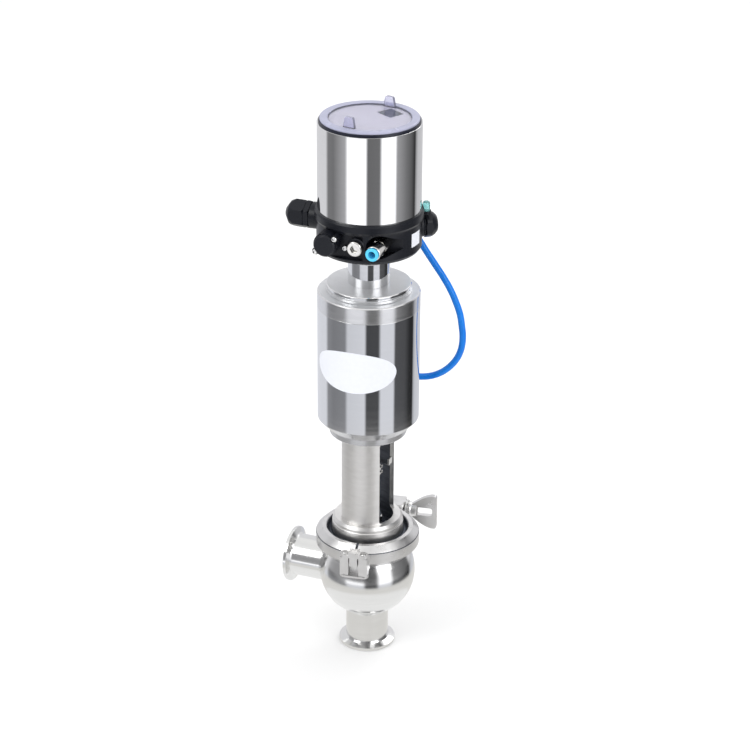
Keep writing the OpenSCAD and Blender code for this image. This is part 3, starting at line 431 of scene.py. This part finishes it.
def block(size, centre):
    """A box at a place, with its size in its mesh."""
    bpy.ops.object.select_all(action="DESELECT")
    bpy.ops.mesh.primitive_cube_add(size=1, location=centre)
    piece = bpy.context.object
    piece.scale = size
    bpy.ops.object.transform_apply(location=True, rotation=True, scale=True)
    return piece


nut_loop = worked_copy("wing_nut", "nut_loop", cast_satin, edge_mm=nut_edge_mm, steps=3)
bar_deep = nut_bar + loop_corner_r
loop_bar = block((nut_plate, loop_w + 2 * loop_corner_r, bar_deep), (0, 0, nut_end - bar_deep / 2))
loop_end = block((2 * nut_plate, loop_w, loop_w), (0, 0, nut_end - nut_bar - loop_w / 2))
eased(loop_end, loop_corner_r * 1000, steps=6)
cut(loop_bar, loop_end)
eased(loop_bar, nut_edge_mm, steps=3)
cut(nut_loop, laid(loop_bar, to_bolt), "UNION")
smoothed(nut_loop)


# Bolt thread: a rolled M8 thread with a pitch of 1.25 mm on the swing bolt, seen in the lug's slot.
# The ridge winds along the bolt, from inside the lug's slot to the bolt's tip.
thread_pitch = 0.00125
thread_core_r = 0.00375
thread_depth = 0.0003
thread_start = 0.014
thread_turns = 23
thread_steps = 24
bolt_thread = drawn([(thread_core_r, thread_start),
                     (thread_core_r + thread_depth, thread_start + thread_pitch / 2),
                     (thread_core_r, thread_start + thread_pitch)])
winding = bolt_thread.modifiers.new("winding", "SCREW")
winding.screw_offset = thread_pitch
winding.iterations = thread_turns
winding.steps = thread_steps
winding.render_steps = thread_steps
winding.use_merge_vertices = True
winding.merge_threshold = merge_gap
bpy.ops.object.modifier_apply(modifier=winding.name)
bpy.ops.object.mode_set(mode="EDIT")
bpy.ops.mesh.select_all(action="SELECT")
bpy.ops.mesh.remove_doubles(threshold=2 * merge_gap)
bpy.ops.mesh.fill_holes(sides=0)
bpy.ops.mesh.normals_make_consistent(inside=False)
bpy.ops.object.mode_set(mode="OBJECT")
placed(smoothed(laid(bolt_thread, to_bolt)), "bolt_thread", turned_bright,
       body=body_of["swing_bolt"], slot=slot_of["swing_bolt"])


# Stem line inside the yoke: a sleeve with two grub screws joins the stem and the piston rod.
# A thin flag on it shows the travel in the yoke's window.
dressed(turned_bright, "coupling", "coupling_screws", "travel_pointer")


# Actuator: a mirror-polished tube between a turned bottom plate and a turned cap with a grooved disc.
# The upward faces of the cap and the disc get a paler, half-metallic copy of the steel: painted light on the
# tops.
mirror_steel = mottle(finish("mirror_steel", (0.8, 0.8, 0.8), 1, 0.06), 26, (1, 1, 16),
                      (0.79, 0.792, 0.795), (0.81, 0.812, 0.815), (0.05, 0.07), 0.0001)
cap_satin = mottle(finish("cap_satin", (0.78, 0.78, 0.785), 1, 0.2), 60, (1, 1, 12),
                   (0.76, 0.76, 0.765), (0.8, 0.8, 0.805), (0.18, 0.23), 0.0003)
plate_satin = mottle(finish("plate_satin", (0.62, 0.625, 0.64), 1, 0.22), 60, (1, 1, 12),
                     (0.6, 0.605, 0.62), (0.64, 0.645, 0.66), (0.2, 0.26), 0.0003)
# A paler, half-metallic steel for faces that look up: painted light.
painted_light_tops = mottle(finish("painted_light_tops", (0.72, 0.73, 0.75), 0.55, 0.38), 120, (1, 1, 1),
                  (0.7, 0.71, 0.73), (0.75, 0.76, 0.78), (0.34, 0.42), 0.0005)
act_r = 0.04445
barrel_bore_r = 0.04245
act_foot = 0.213
act_lip_r = 0.034
bevel_z = 0.22
barrel_z = 0.229
seam_z = 0.3335
cap_top = 0.348
disc_top = 0.355
disc_r = 0.0373
seam_line = 0.00012
seam_in = 0.0002
barrel_fit = 0.0001
plate_edge = 0.0008
plate_cone = 0.008
bush_seat_r = 0.01102
cap_bore_r = 0.01
cap_edge = 0.001
disc_edge = 0.0008
disc_rim_top = 0.0026
disc_groove = 0.0016
disc_groove_foot = 0.003
disc_groove_top = 0.0039
disc_top_in = 0.0004
disc_top_foot = 0.0043
level = 0.8


def upward(reach, centre, normal):
    """A test for refinished that picks the faces that look up."""
    return normal.z > level


bottom_plate = lathe([
    (bush_seat_r, act_foot), (act_lip_r - plate_edge, act_foot), (act_lip_r, act_foot + plate_edge),
    (act_lip_r, bevel_z), (act_r - plate_cone, bevel_z), (act_r, barrel_z - seam_line),
    (act_r - seam_in, barrel_z), (barrel_bore_r - barrel_fit, barrel_z), (bush_seat_r, barrel_z),
    (bush_seat_r, act_foot)], round_off=0.0002)
placed(bottom_plate, "bottom_plate", plate_satin, "actuator_base")
barrel_tube = lathe([
    (barrel_bore_r, barrel_z), (act_r - seam_in, barrel_z), (act_r, barrel_z + seam_line),
    (act_r, seam_z - seam_line), (act_r - seam_in, seam_z), (barrel_bore_r, seam_z),
    (barrel_bore_r, barrel_z)], round_off=0.0001)
placed(barrel_tube, "barrel_tube", mirror_steel, "actuator_barrel")
top_cap = lathe([
    (cap_bore_r, seam_z), (act_r - seam_in, seam_z), (act_r, seam_z + seam_line),
    (act_r, cap_top - cap_edge), (act_r - cap_edge, cap_top), (cap_bore_r, cap_top), (cap_bore_r, seam_z)])
# The cap's upward faces get the paler steel, which is painted light.
refinished(placed(top_cap, "top_cap", cap_satin, "actuator_cap"), painted_light_tops, upward)
grooved_disc = lathe([
    (cap_bore_r, cap_top), (disc_r - disc_edge, cap_top), (disc_r, cap_top + disc_edge),
    (disc_r, cap_top + disc_rim_top), (disc_r - disc_groove, cap_top + disc_groove_foot),
    (disc_r - disc_groove, cap_top + disc_groove_top), (disc_r - disc_top_in, cap_top + disc_top_foot),
    (disc_r - disc_top_in, disc_top - disc_edge), (disc_r - disc_top_in - disc_edge, disc_top),
    (cap_bore_r, disc_top), (cap_bore_r, cap_top)], round_off=0.0002)
# The disc's upward faces get the paler steel, which is painted light.
refinished(placed(grooved_disc, "grooved_disc", mirror_steel, "cap_disc"), painted_light_tops, upward)

# A round boss on the barrel's back carries the lower elbow.
boss_z = 0.2445
boss_bore_r = 0.0048
boss_r = 0.0075
boss_h = 0.004
boss_sunk = 0.0015
air_boss = lathe([(boss_bore_r, 0), (boss_r, 0), (boss_r, boss_h), (boss_bore_r, boss_h), (boss_bore_r, 0)],
                 steps=64)
to_barrel_back = Matrix.Translation((0, act_r - boss_sunk, boss_z)) @ Matrix.Rotation(-math.pi / 2, 4, "X")
placed(laid(air_boss, to_barrel_back), "air_boss", mirror_steel, "actuator_barrel")

spring_oiled = mottle(finish("spring_oiled", (0.25, 0.26, 0.28), 1, 0.35), 90, (1, 1, 1),
                      (0.18, 0.19, 0.2), (0.3, 0.31, 0.33), (0.28, 0.42), 0.01)
dressed(mirror_steel, "actuator_base", "actuator_barrel", "actuator_cap", "cap_disc")
dressed(turned_bright, "piston", "piston_rod", "feedback_rod")
dressed(seal_black, "piston_seal")
dressed(spring_oiled, "return_spring")


# Oval label: thin white vinyl, 80.5 mm by 37.8 mm, wrapped round the barrel's front.
# It is left bare, like the small oblong tag on the positioner base.
label_white = mottle(finish("label_white", (0.76, 0.78, 0.84), 0, 0.45), 300, (1, 1, 1),
                     (0.75, 0.77, 0.83), (0.77, 0.79, 0.85), (0.4, 0.5), 0.001)
label_t = 0.0001
label_strips = 96
label_gap = 0.00002
label_turn = math.radians(-88.5)
label_z = 0.2874
label_w = 0.0805
label_h = 0.0378


def stuck_label(name, r, turn, z, width, height, oval=True):
    """A label wrapped on a round housing: an oval or an oblong, measured along the surface."""
    bpy.ops.object.select_all(action="DESELECT")
    bpy.ops.mesh.primitive_grid_add(x_subdivisions=label_strips, y_subdivisions=1, size=2)
    label = bpy.context.object
    for vertex in label.data.vertices:
        along = math.sin(vertex.co.x * math.pi / 2)
        up = vertex.co.y * (math.sqrt(max(0, 1 - along ** 2)) if oval else 1)
        around_by = turn + along * width / 2 / r
        vertex.co = (r * math.cos(around_by), r * math.sin(around_by), z + up * height / 2)
    backing = label.modifiers.new("backing", "SOLIDIFY")
    backing.thickness = label_t
    backing.offset = 1
    bpy.ops.object.modifier_apply(modifier=backing.name)
    bpy.ops.object.mode_set(mode="EDIT")
    bpy.ops.mesh.select_all(action="SELECT")
    bpy.ops.mesh.remove_doubles(threshold=merge_gap)
    bpy.ops.mesh.normals_make_consistent(inside=False)
    bpy.ops.object.mode_set(mode="OBJECT")
    return placed(smoothed(label), name, label_white, body="root", slot="pale_plastic")


stuck_label("oval_label", act_r + label_gap, label_turn, label_z, label_w, label_h)


# Neck: a turned steel tube with a wider collar that the positioner sits on.
# It stands on the grooved disc, and the feedback rod runs up through it.
neck_tube_r = 0.0181
neck_tube_bore_r = 0.009
collar_r = 0.0202
collar_edge = 0.0006
collar_step = 0.001
collar_z = 0.378
base_z = 0.3866
neck_tube = lathe([
    (neck_tube_bore_r, disc_top), (neck_tube_r, disc_top), (neck_tube_r, collar_z - collar_step),
    (collar_r - collar_edge, collar_z), (collar_r, collar_z + collar_edge), (collar_r, base_z),
    (neck_tube_bore_r, base_z), (neck_tube_bore_r, disc_top)])
placed(neck_tube, "neck_tube", mirror_steel, "neck")
dressed(mirror_steel, "neck")


# Positioner base: a deep black glass-filled moulding with a flat front for its ports.
# It screws on to the neck's collar, and a collar at its top holds the steel sleeve.
black_moulding = mottle(finish("black_moulding", (0.007, 0.008, 0.013), 0, 0.32), 1300, (1, 1, 1),
                        (0.006, 0.007, 0.011), (0.01, 0.0115, 0.017), (0.26, 0.4), 0.02)
tuned(black_moulding, "Specular IOR Level", 0.28)
base_r = 0.0449
tag_turn = math.radians(-8)
tag_z = 0.403
tag_w = 0.0135
tag_h = 0.012
worked_copy("positioner_base", "base_moulding", black_moulding, edge_mm=0.35)
stuck_label("base_tag", base_r + label_gap, tag_turn, tag_z, tag_w, tag_h, oval=False)


# Positioner sleeve: a thin polished steel tube that drops into the base's collar.
# The lid's seal closes its upper end.
sleeve_r = 0.0442
sleeve_foot = 0.4144
sleeve_top = 0.4994
sleeve_wall = 0.0015
steel_sleeve = lathe([
    (sleeve_r - sleeve_wall, sleeve_foot), (sleeve_r, sleeve_foot), (sleeve_r, sleeve_top),
    (sleeve_r - sleeve_wall, sleeve_top), (sleeve_r - sleeve_wall, sleeve_foot)])
placed(steel_sleeve, "steel_sleeve", mirror_steel, "positioner_shell")


# Lid: a clear moulded disc with a rounded rim and two grip tabs, on a thin navy seal.
# Under it lie a pale tray and the dark display that is read from above.
clear_lid = mottle(finish("clear_lid", (0.93, 0.93, 0.985), 0, 0.06), 60, (1, 1, 1),
                   (0.92, 0.92, 0.98), (0.94, 0.94, 0.99), (0.04, 0.08), 0.001)
tuned(clear_lid, "Transmission Weight", 1)
tuned(clear_lid, "IOR", 1.25)
rim_lavender = mottle(finish("rim_lavender", (0.39, 0.4, 0.53), 0, 0.25), 60, (1, 1, 1),
                      (0.37, 0.38, 0.5), (0.42, 0.43, 0.57), (0.2, 0.3), 0.001)
seal_navy = mottle(finish("seal_navy", (0.006, 0.008, 0.022), 0, 0.35), 400, (1, 1, 1),
                   (0.005, 0.007, 0.018), (0.008, 0.011, 0.028), (0.3, 0.42), 0.004)
pale_tray = mottle(finish("pale_tray", (0.84, 0.82, 0.9), 0, 0.35), 150, (1, 1, 1),
                   (0.82, 0.8, 0.88), (0.86, 0.84, 0.92), (0.3, 0.4), 0.002)
display_glass = mottle(finish("display_glass", (0.035, 0.05, 0.09), 0, 0.2), 80, (1, 1, 1),
                       (0.03, 0.042, 0.075), (0.045, 0.065, 0.115), (0.15, 0.25), 0.001)
tuned(display_glass, "Specular IOR Level", 0.08)
grip_clear = mottle(finish("grip_clear", (0.72, 0.72, 0.88), 0, 0.1), 60, (1, 1, 1),
                    (0.7, 0.7, 0.87), (0.75, 0.75, 0.9), (0.06, 0.14), 0.001)
tuned(grip_clear, "Transmission Weight", 0.8)
lid_rim_inner_r = 0.0352
rim_slope = -0.3
grip_foot = 0.5035
lid_disc = worked_copy("lid", "lid_disc", clear_lid, edge_mm=0.3, steps=3)
refinished(lid_disc, rim_lavender, lambda reach, centre, normal: (
    reach > lid_rim_inner_r and normal.z > rim_slope))
refinished(lid_disc, grip_clear, lambda reach, centre, normal: centre.z > grip_foot)
seal_foot = 0.49445
seal_seat = 0.49945
lid_foot = 0.50065
lid_edge_r = 0.04105
seal_inner_r = 0.035
seal_plug_r = 0.0424
seal_flange_r = 0.0431
seal_top_r = 0.0428
seal_lip_top = lid_foot + 0.0008
lid_gasket = lathe([
    (seal_inner_r, seal_foot), (seal_plug_r, seal_foot), (seal_plug_r, seal_seat),
    (seal_flange_r, seal_seat), (seal_top_r, seal_lip_top), (lid_edge_r, seal_lip_top),
    (lid_edge_r, lid_foot), (seal_inner_r, lid_foot), (seal_inner_r, seal_foot)], round_off=0.0002)
placed(lid_gasket, "lid_gasket", seal_navy, "lid_seal")
refinished(lid_gasket, rim_lavender, lambda reach, centre, normal: reach < lid_rim_inner_r)
worked_copy("inner_cover", "pale_tray", pale_tray, edge_mm=0.2)
worked_copy("display", "display_block", display_glass, edge_mm=0.5, steps=3)
dark_case = mottle(finish("dark_case", (0.05, 0.05, 0.055), 0, 0.5), 500, (1, 1, 1),
                   (0.04, 0.04, 0.045), (0.06, 0.06, 0.066), (0.45, 0.6), 0.01)
dressed(dark_case, "position_sensor", "pilot_valves")
dressed(seal_navy, "lid_seal")
dressed(clear_lid, "lid")
dressed(pale_tray, "inner_cover")
dressed(display_glass, "display")
dressed(mirror_steel, "positioner_shell")


# Ports: the vent's cap on two lobes, a steel blanking plug and the push-in fitting for the air supply in
# front, and a cable gland and a closed entry at the sides. Small socket screws hold the cap and the base.
ring_blue = mottle(finish("ring_blue", (0.08, 0.58, 0.88), 0, 0.3), 300, (1, 1, 1),
                   (0.07, 0.54, 0.84), (0.1, 0.62, 0.92), (0.25, 0.38), 0.004)
nickel_plate = mottle(finish("nickel_plate", (0.74, 0.73, 0.7), 1, 0.14), 120, (1, 1, 1),
                      (0.72, 0.71, 0.68), (0.77, 0.76, 0.73), (0.1, 0.18), 0.001)
for node in ("vent_cap", "left_gland", "left_gland_nut", "right_gland", "right_gland_cap"):
    worked_copy(node, node + "_moulding", black_moulding, edge_mm=0.35, steps=3)
worked_copy("blanking_plug", "port_plug", nickel_plate, edge_mm=0.2)
worked_copy("base_screws", "socket_screws", turned_bright, edge_mm=0.1)
worked_copy("supply_fitting", "supply_body", nickel_plate, edge_mm=0.2)
worked_copy("supply_ring", "supply_collar", ring_blue, edge_mm=0.2)
dressed(black_moulding, "positioner_base", "vent_cap", "left_gland", "left_gland_nut", "right_gland",
        "right_gland_cap")
dressed(nickel_plate, "blanking_plug", "supply_fitting")
dressed(turned_bright, "base_screws")
dressed(ring_blue, "supply_ring")


# Status lens: a small clear teal rod that stands beside the sleeve and lights up.
# It is set in a small foot at the right of the base.
teal_lens = mottle(finish("teal_lens", (0.35, 0.8, 0.8), 0, 0.1), 100, (1, 1, 1),
                   (0.33, 0.78, 0.78), (0.37, 0.82, 0.82), (0.07, 0.14), 0.001)
tuned(teal_lens, "Transmission Weight", 0.7)
worked_copy("status_lens", "teal_rod", teal_lens, edge_mm=0.3)
dressed(teal_lens, "status_lens")


# Elbows: nickel-plated push-in elbows on the back of the base and of the barrel.
# Each has a blue ring that is pressed in to let go of the tube.
for node in ("upper_elbow", "lower_elbow"):
    worked_copy(node, node + "_body", nickel_plate, edge_mm=0.2)
for node in ("upper_elbow_ring", "lower_elbow_ring"):
    worked_copy(node, node.replace("ring", "collar"), ring_blue, edge_mm=0.2)
dressed(nickel_plate, "upper_elbow", "lower_elbow")
dressed(ring_blue, "upper_elbow_ring", "lower_elbow_ring")


# Air tube: 6 mm polyurethane tube, bright blue and slightly clear, pushed into an elbow at each end.
# It springs out to the right in one open bow under its own stiffness.
tube_d = 0.006
tube_route = [
    (0.013, 0.056, 0.392), (0.019, 0.056, 0.384), (0.025, 0.056, 0.376), (0.032, 0.056, 0.366),
    (0.0405, 0.056, 0.3545), (0.0485, 0.056, 0.3435), (0.055, 0.056, 0.333), (0.060, 0.056, 0.3225),
    (0.064, 0.056, 0.3115), (0.066, 0.056, 0.3005), (0.067, 0.056, 0.291), (0.0665, 0.056, 0.282),
    (0.065, 0.056, 0.2755), (0.062, 0.056, 0.2685), (0.058, 0.056, 0.2625), (0.0525, 0.056, 0.2565),
    (0.046, 0.056, 0.2515), (0.038, 0.056, 0.2475), (0.029, 0.056, 0.2452), (0.020, 0.056, 0.2445),
    (0.005, 0.056, 0.2445)]
tube_blue = mottle(finish("tube_blue", (0.001, 0.19, 0.72), 0, 0.25), 60, (1, 1, 1),
                   (0.001, 0.17, 0.68), (0.002, 0.21, 0.77), (0.2, 0.3), 0.02)
tuned(tube_blue, "Specular IOR Level", 0.35)
tube_line = bpy.data.curves.new("air_line", "CURVE")
tube_line.dimensions = "3D"
tube_line.bevel_depth = tube_d / 2
tube_line.bevel_resolution = 8
tube_line.resolution_u = 8
tube_line.use_fill_caps = True
spline = tube_line.splines.new("BEZIER")
spline.bezier_points.add(len(tube_route) - 1)
for point, place in zip(spline.bezier_points, tube_route):
    point.co = place
    point.handle_left_type = "AUTO"
    point.handle_right_type = "AUTO"
air_line = bpy.data.objects.new("air_line", tube_line)
bpy.context.scene.collection.objects.link(air_line)
tube_line.materials.append(tube_blue)
dressed(tube_blue, "air_tube")
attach(air_line, "root")
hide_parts("air_tube")


# Floor and light: a white sweep under soft light. Polished steel shows what stands round it, so a tall
# surround of white, grey and black cloths hangs round the set, seen only in the steel.
floor_z = -0.0006
bpy.ops.object.select_all(action="DESELECT")
bpy.ops.mesh.primitive_plane_add(size=12, location=(0, 0, floor_z))
floor = bpy.context.object
floor.name = "floor"
floor.data.materials.append(finish("floor_white", (0.9, 0.9, 0.9), 0, 0.9))
floor.visible_glossy = False

world = bpy.data.worlds.new("studio")
bpy.context.scene.world = world
world.use_nodes = True
world.node_tree.nodes["Background"].inputs["Color"].default_value = (1, 1, 1, 1)
world.node_tree.nodes["Background"].inputs["Strength"].default_value = 0.95
bpy.context.scene.view_settings.view_transform = "Standard"

# Each cloth point is an azimuth, in degrees to the right of the camera, with its tone in three rows: high up,
# for the ball and clamp; in the middle, for the sleeve; and lower, dimmer and bluer, for the actuator.
# Under the rows hangs a plain pale skirt.
cloths = [
    (-180, 0.8, 0.74, 0.8), (-110, 0.8, 0.78, 0.82), (-102, 0.45, 0.22, 0.3), (-85, 0.35, 0.2, 0.24),
    (-54, 0.35, 0.46, 0.27), (-47, 0.35, 1.5, 0.72), (-9, 0.25, 1.5, 0.78), (-4, 0.12, 0.17, 0.075),
    (22, 0.12, 0.19, 0.08), (28, 1.4, 1.5, 0.8), (57, 1.4, 1.5, 0.8), (62, 0.3, 0.4, 0.1),
    (88, 0.2, 0.2, 0.09), (104, 0.15, 0.12, 0.03), (116, 0.15, 0.025, 0.025), (121, 0.7, 0.35, 0.5),
    (130, 0.8, 0.62, 0.7), (180, 0.8, 0.68, 0.7)]
upper_tint = (1, 1, 1.03)
lower_tint = (0.96, 0.98, 1.05)
skirt_tone = (0.8, 0.79, 0.77, 1)
high_row_z = -0.31
upper_row_z = -0.63
lower_row_z = -1.025
row_fade = 0.02
surround_r = 2.5
surround_h = 4.5
half_up = (0, 0, 0.25)
bpy.ops.mesh.primitive_cylinder_add(vertices=96, radius=surround_r, depth=surround_h,
                                    end_fill_type="NOTHING", location=half_up)
surround = bpy.context.object
surround.name = "surround"
bpy.ops.object.transform_apply(location=True)
for seen_by in ("visible_camera", "visible_diffuse", "visible_shadow"):
    setattr(surround, seen_by, False)
cloth = bpy.data.materials.new("cloth")
cloth.use_nodes = True
tree = cloth.node_tree
tree.nodes.clear()
place = tree.nodes.new("ShaderNodeTexCoord")
turned_round = tree.nodes.new("ShaderNodeMapping")
turned_round.inputs["Rotation"].default_value[2] = math.pi / 2 - view_turn
around = tree.nodes.new("ShaderNodeTexGradient")
around.gradient_type = "RADIAL"
height = tree.nodes.new("ShaderNodeSeparateXYZ")
tree.links.new(place.outputs["Object"], turned_round.inputs["Vector"])
tree.links.new(turned_round.outputs["Vector"], around.inputs["Vector"])
tree.links.new(place.outputs["Object"], height.inputs["Vector"])


def row(column, tint):
    """One row of cloths round the set: a ramp over the azimuth."""
    tones = tree.nodes.new("ShaderNodeValToRGB")
    for i, point in enumerate(cloths):
        at = (point[0] + 180) / 360
        stop = tones.color_ramp.elements[i] if i < 2 else tones.color_ramp.elements.new(at)
        stop.position = at
        stop.color = (*[point[column] * share for share in tint], 1)
    tree.links.new(around.outputs["Fac"], tones.inputs["Fac"])
    return tones.outputs["Color"]


def hung(above, below, at):
    """Two rows of cloth with a soft edge between them at a height."""
    share = tree.nodes.new("ShaderNodeMapRange")
    share.inputs["From Min"].default_value = at - row_fade
    share.inputs["From Max"].default_value = at + row_fade
    mix = tree.nodes.new("ShaderNodeMix")
    mix.data_type = "RGBA"
    tree.links.new(height.outputs["Z"], share.inputs["Value"])
    tree.links.new(share.outputs["Result"], mix.inputs["Factor"])
    tree.links.new(above, mix.inputs["B"])
    if isinstance(below, tuple):
        mix.inputs["A"].default_value = below
    else:
        tree.links.new(below, mix.inputs["A"])
    return mix.outputs["Result"]


glow = tree.nodes.new("ShaderNodeEmission")
out = tree.nodes.new("ShaderNodeOutputMaterial")
actuator_row = hung(row(3, lower_tint), skirt_tone, lower_row_z)
sleeve_row = hung(row(2, upper_tint), actuator_row, upper_row_z)
tree.links.new(hung(row(1, upper_tint), sleeve_row, high_row_z), glow.inputs["Color"])
tree.links.new(glow.outputs["Emission"], out.inputs["Surface"])
surround.data.materials.append(cloth)

for name, power, size, stand in [
        ("key_box", 18, 1.2, (-1.2, -1.6, 1.8)),
        ("fill_box", 10, 1.4, (1.8, -0.8, 1.2)),
        ("back_box", 12, 1.2, (0.3, 1.8, 1.9))]:
    bpy.ops.object.light_add(type="AREA", location=stand)
    box = bpy.context.object
    box.name = name
    box.data.energy = power
    box.data.size = size
    box.rotation_euler = (Vector(stand) - Vector(half_up)).to_track_quat("Z", "Y").to_euler()
